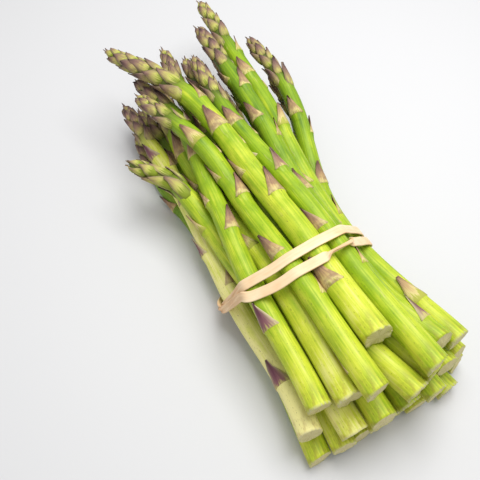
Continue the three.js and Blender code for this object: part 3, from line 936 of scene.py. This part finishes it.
def run_along(points):
    """How far along the line through these points each one lies."""
    return np.concatenate([[0], np.cumsum(np.linalg.norm(np.diff(points, axis=0), axis=1))])


def resampled(rows, run, steps):
    """Rows of three numbers that are known at `run`, worked out at `steps`."""
    return np.column_stack([np.interp(steps, run, rows[:, k]) for k in range(3)])


def line_of(spear):
    """Points of the centre line at equal steps along it, their radii, and how far along each y lies."""
    ys = np.arange(spear.butt[1] - 2 * LEAD, spear.tip[1] + 2 * LEAD, FINE_STEP)
    points = np.array([centre_at(spear, y) for y in ys])
    run = run_along(points)
    run -= np.interp(spear.butt[1], ys, run)
    length = float(np.interp(spear.tip[1], ys, run))
    steps = np.linspace(-LEAD, length + LEAD, round(length + 2 * LEAD) + 1)
    neck, full = spear.tip[1] - spear.head, spear.tip[1] - CORE.full_before_tip
    core = [radius_at(spear, y) * (1 - CORE.thinner * smoothstep(y, neck, full))
            for y in np.interp(steps, run, ys)]
    return resampled(points, run, steps), core, length, lambda y: float(np.interp(y, ys, run))


def grown(name, source, tree, inputs):
    """Runs a geometry tree on `source`, and keeps the result as a plain mesh object."""
    modifier = source.modifiers.new(name, "NODES")
    modifier.node_group = tree
    for item in tree.interface.items_tree:
        if item.in_out == "INPUT" and item.name in inputs:
            modifier[item.identifier] = inputs[item.name]
    graph = bpy.context.evaluated_depsgraph_get()
    mesh = bpy.data.meshes.new_from_object(source.evaluated_get(graph))
    source.modifiers.clear()
    mesh.name = name
    return object_of(name, mesh)


def remove(*scratch):
    for obj in scratch:
        bpy.data.objects.remove(obj)


def spear_piece(number, spear, look, slant, slant_turn):
    line, core, length, run_at = line_of(spear)
    each = Seed(*np.array(list(seeds_of(spear, look, random_from(100 + number)))).T)
    flat = [(math.radians(angle), run_at(y) * MM, 0) for angle, y in zip(each.angle, each.y)]
    seeds = mesh_of("seeds", flat, half_angle=np.radians(each.half_angle), length=each.length * MM,
                    height=each.height * MM, lift=each.lift * MM, lean=each.lean, in_head=each.in_head,
                    tone=each.tone)
    path = mesh_of("path", [place(p) for p in line], edges=[(k, k + 1) for k in range(len(line) - 1)],
                   radius=np.array(core) * MM)
    piece = grown(f"fresh_spear_{number:02d}", seeds, spear_nodes, {
        "Line": path, "Bract": bract, "Scale": scale, "Length": length * MM,
        "Slant": slant * spear.d / 2 * MM, "Slant turn": math.radians(slant_turn),
        "Ragged": look.ragged * MM, "Seed": SEED_STEP * number, "Green": look.green,
        "Pale end": look.pale_end, "Neck": run_at(spear.tip[1] - spear.head) * MM, "Skin": asparagus})
    remove(seeds, path)
    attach(piece, "root")
    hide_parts(f"spear_{number:02d}")
    return piece


slants, inner_looks = random_from(31), random_from(53)
triangles = 0
for number, spear in enumerate(spears, 1):
    slant = math.tan(LARGEST_SLANT * next(slants))
    slant_turn = 360 * next(slants)
    inner = Look(0.5 + 0.3 * next(inner_looks), 0.15, 0.4 + 0.8 * next(inner_looks), 0.5, 0.3)
    look = LOOKS[number - 1] if number <= len(LOOKS) else inner
    piece = spear_piece(number, spear, look, slant, slant_turn)
    triangles += sum(len(face.vertices) - 2 for face in piece.data.polygons)
remove(bract, scale)
print("spears", len(spears), "triangles", triangles)

# %% [markdown]
# ## The rubber band
# A rubber band on a bunch of vegetables goes round twice. It is one flat, faintly ribbed strip, pulled taut,
# so it lies on the stems that stand out and bridges the gaps between them. Where its two turns cross it is
# gathered into folds. It was slipped on with a half twist, which a second one turns back. A curve with a
# bevel can't narrow and fold, so the strip is a grid: its rows sit on a taut line and its columns go round
# its section.

# %% The band's tree
BAND_COLUMNS = 64
BAND_ROWS = 560
SIDE_COLUMNS = 3.0  # half the columns on each narrow side of the section
BAND_SEAM = 0.005
EDGE = Record(thinner=0.4, power=12.0)
RIBS = Record(height=0.04, waves=22.0)
GATHERED = Record(narrower=0.45, height=0.55, waves_along=130.0, waves_across=5.2)


def band_tree():
    tree, given, output = new_tree("Rubber band", {
        "Geometry": "Geometry", "Width": "Float", "Thickness": "Float", "Rib": "Float", "Rubber": "Material"})
    line = made(tree, "GeometryNodeMeshToCurve", {"Mesh": given["Geometry"]})
    sheet = made(tree, "GeometryNodeMeshGrid",
                 {"Size X": 1.0, "Size Y": 1.0, "Vertices X": BAND_COLUMNS + 1, "Vertices Y": BAND_ROWS + 1})
    flat_x, flat_y, _ = position_in(tree)
    along = flat_y + 0.5
    column = (flat_x + 0.5) * BAND_COLUMNS
    quarter = BAND_COLUMNS / 4

    def there_and_back(at, reach):
        """From -1 to 1 and back, once round the section, held outside `reach` columns."""
        wave = calc("PINGPONG", at, 2 * quarter) - quarter
        return scaled(wave, reach, low=-reach, to_low=-1.0, to_high=1.0)

    x = there_and_back(column, quarter - SIDE_COLUMNS)
    z = there_and_back(column + quarter, SIDE_COLUMNS)
    gather = on_line(line, "gather", Factor=along)[0]
    roll = on_line(line, "roll", Factor=along)[0]
    outward, tangent, centre = on_line(line, "outward", "FLOAT_VECTOR", Factor=along)
    across = x * (given["Width"] * 0.5 * (gather * -GATHERED.narrower + 1.0))
    round_edge = calc("ABSOLUTE", x) ** EDGE.power * -EDGE.thinner + 1.0
    ribs = calc("COSINE", x * RIBS.waves) * given["Rib"]
    folds = calc("SINE", along * GATHERED.waves_along + x * GATHERED.waves_across)
    height = (given["Thickness"] * 0.5 * round_edge + ribs) * z + folds * (gather * (GATHERED.height * MM))
    cosine, sine = calc("COSINE", roll), calc("SINE", roll)
    sideways = across * cosine - height * sine
    upwards = across * sine + height * cosine
    for name, value in (("across", x), ("gathered", gather), ("run", along)):
        sheet = stored(sheet, name, value)
    placed = beside(centre, tangent, outward, sideways, upwards)
    finished(set_position(sheet, Position=placed), BAND_SEAM * MM, given["Rubber"], output)
    return tree


band_nodes = band_tree()
print(band_nodes.name, len(band_nodes.nodes), "nodes")

# %% [markdown]
# ## Where the band runs
# The line is worked out the way a taut band finds it: at each angle it touches the stem that reaches out
# furthest. It is then cut into equal steps and smoothed, because rubber doesn't turn corners, and most of
# all along the stems, so that it runs straight across them.

# %% The band's line
BAND_STEP = 1.0
FINE_CROSSING = -4  # degrees up from -X: the finer band crosses a little lower than the solid one
TWISTS = [(476, math.pi), (704, -math.pi)]  # degrees round at the middle, and how far it turns over
TWIST_HALF_TURN = 24
SMOOTHED = Record(line=3, way=4, along_stems=18)  # neighbours each side that a mean takes in
GATHER = Record(full=4, ends=30, in_twist=0.7)  # degrees from the crossing, and a share
TWIST_LIFT = 0.32  # an edge-on strip stands this share of its width further out


def blurred(rows, reach):
    """The mean of each row of a closed loop and its `reach` neighbours on both sides."""
    return sum(np.roll(rows, k, axis=0) for k in range(-reach, reach + 1)) / (2 * reach + 1)


def band_line():
    """Points a millimetre apart on the taut line, their ways out, roll and gather."""
    turns = np.arange(721)
    pairs = [band_point(turn, BAND.thick / 2, FINE_CROSSING) for turn in turns % 720]
    points, outs = np.array(pairs).transpose(1, 0, 2)
    run = run_along(points)
    steps = np.arange(0, run[-1], run[-1] / round(run[-1] / BAND_STEP))
    at_turn = np.interp(steps, run, turns)
    line = blurred(resampled(points, run, steps), SMOOTHED.line)
    way = blurred(resampled(outs, run, steps), SMOOTHED.way)
    line[:, 1] = blurred(line[:, 1], SMOOTHED.along_stems)
    away = np.minimum(at_turn % 360, 360 - at_turn % 360)
    gather = np.array([1 - smoothstep(a, GATHER.full, GATHER.ends) for a in away])
    roll = np.zeros(len(line))
    for middle, turned in TWISTS:
        roll += [turned * smoothstep(t, middle - TWIST_HALF_TURN, middle + TWIST_HALF_TURN) for t in at_turn]
    edge_on = np.abs(np.sin(roll))
    gather = np.maximum(gather, GATHER.in_twist * edge_on)
    line += way * (TWIST_LIFT * BAND.width * edge_on)[:, None]
    return line, way, roll, gather


line, way, roll, gather = band_line()
path = mesh_of("path", [place(p) for p in line], edges=[(k, (k + 1) % len(line)) for k in range(len(line))],
               outward=way, roll=roll, gather=gather)
print("the band is", round(len(line) * BAND_STEP), "mm long on the bunch")

# %% [markdown]
# ## Rubber
# Natural rubber is cream, and deepens to peach where it is stretched or folded. It is matt with a faint
# sheen, and it shows fine lines along its length where it was cut and stretched.

# %% The band


def rubber_material():
    material, tree, shader = surface_of("band_rubber", 0.55, Specular_IOR_Level=0.4)
    at = vector_of(read(tree, "across"), 0.0, read(tree, "run"))
    lines = stretched(at, 0.12, 0.3, 2.0)
    cloud = stretched(at, 2.0, 0.02, 2.0)
    share = cloud * 0.9 - 0.2 + read(tree, "gathered") * 0.35 + (lines * 0.5 - 0.25)
    colour = ramp(share, [(0.0, 244, 222, 184), (0.4, 234, 198, 154), (1.0, 214, 156, 112)])
    drive(shader, Base_Color=colour, Normal=bumped(lines, 0.12))
    return material


rubber_band = grown("fresh_band", path, band_nodes, {
    "Width": BAND.width * MM, "Thickness": BAND.thick * MM, "Rib": RIBS.height * MM,
    "Rubber": rubber_material()})
remove(path)
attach(rubber_band, "root")
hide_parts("rubber_band")
print("faces of the band", len(rubber_band.data.polygons))

# %% [markdown]
# ## Floor, light and camera
# A wide pale floor stands for the table. The light is a bright even sky and one large soft lamp above, as
# in a light tent. The camera looks down on the bunch from the cut ends' left.

# %% Stage
FLOOR_SIZE = 6
SKY_STRENGTH = 0.6
SOFTBOX = Record(size=0.4, power=3.9, at=(0.14, 0.04, 0.6), target=(0, 0, 0.03))
CAMERA = Record(at=(-0.1084, -0.1633, 0.3151), down=30, turn=-30, lens=46.9, sensor=36)


def stage():
    bpy.ops.mesh.primitive_plane_add(size=FLOOR_SIZE)
    floor = bpy.context.object
    floor.name = "floor"
    floor.data.materials.append(surface_of("pale_floor", 0.6, Base_Color=srgb(208, 208, 209))[0])
    world = bpy.data.worlds.new("studio")
    world.use_nodes = True
    sky = world.node_tree.nodes["Background"].inputs
    sky["Color"].default_value = (1, 1, 1, 1)
    sky["Strength"].default_value = SKY_STRENGTH
    bpy.context.scene.world = world


def lamp():
    data = bpy.data.lights.new("softbox", "AREA")
    data.size = SOFTBOX.size
    data.energy = SOFTBOX.power
    softbox = object_of("softbox", data)
    softbox.location = SOFTBOX.at
    down = Vector(SOFTBOX.target) - Vector(SOFTBOX.at)
    softbox.rotation_euler = down.to_track_quat("-Z", "Y").to_euler()


def camera():
    data = bpy.data.cameras.new("camera")
    data.lens = CAMERA.lens
    data.sensor_width = CAMERA.sensor
    data.clip_start = 0.01
    obj = object_of("camera", data)
    obj.location = CAMERA.at
    obj.rotation_euler = (math.radians(CAMERA.down), 0, math.radians(CAMERA.turn))
    bpy.context.scene.camera = obj


stage()
lamp()
camera()
bpy.context.scene.view_settings.view_transform = "Standard"
print("floor, lamp and camera stand")
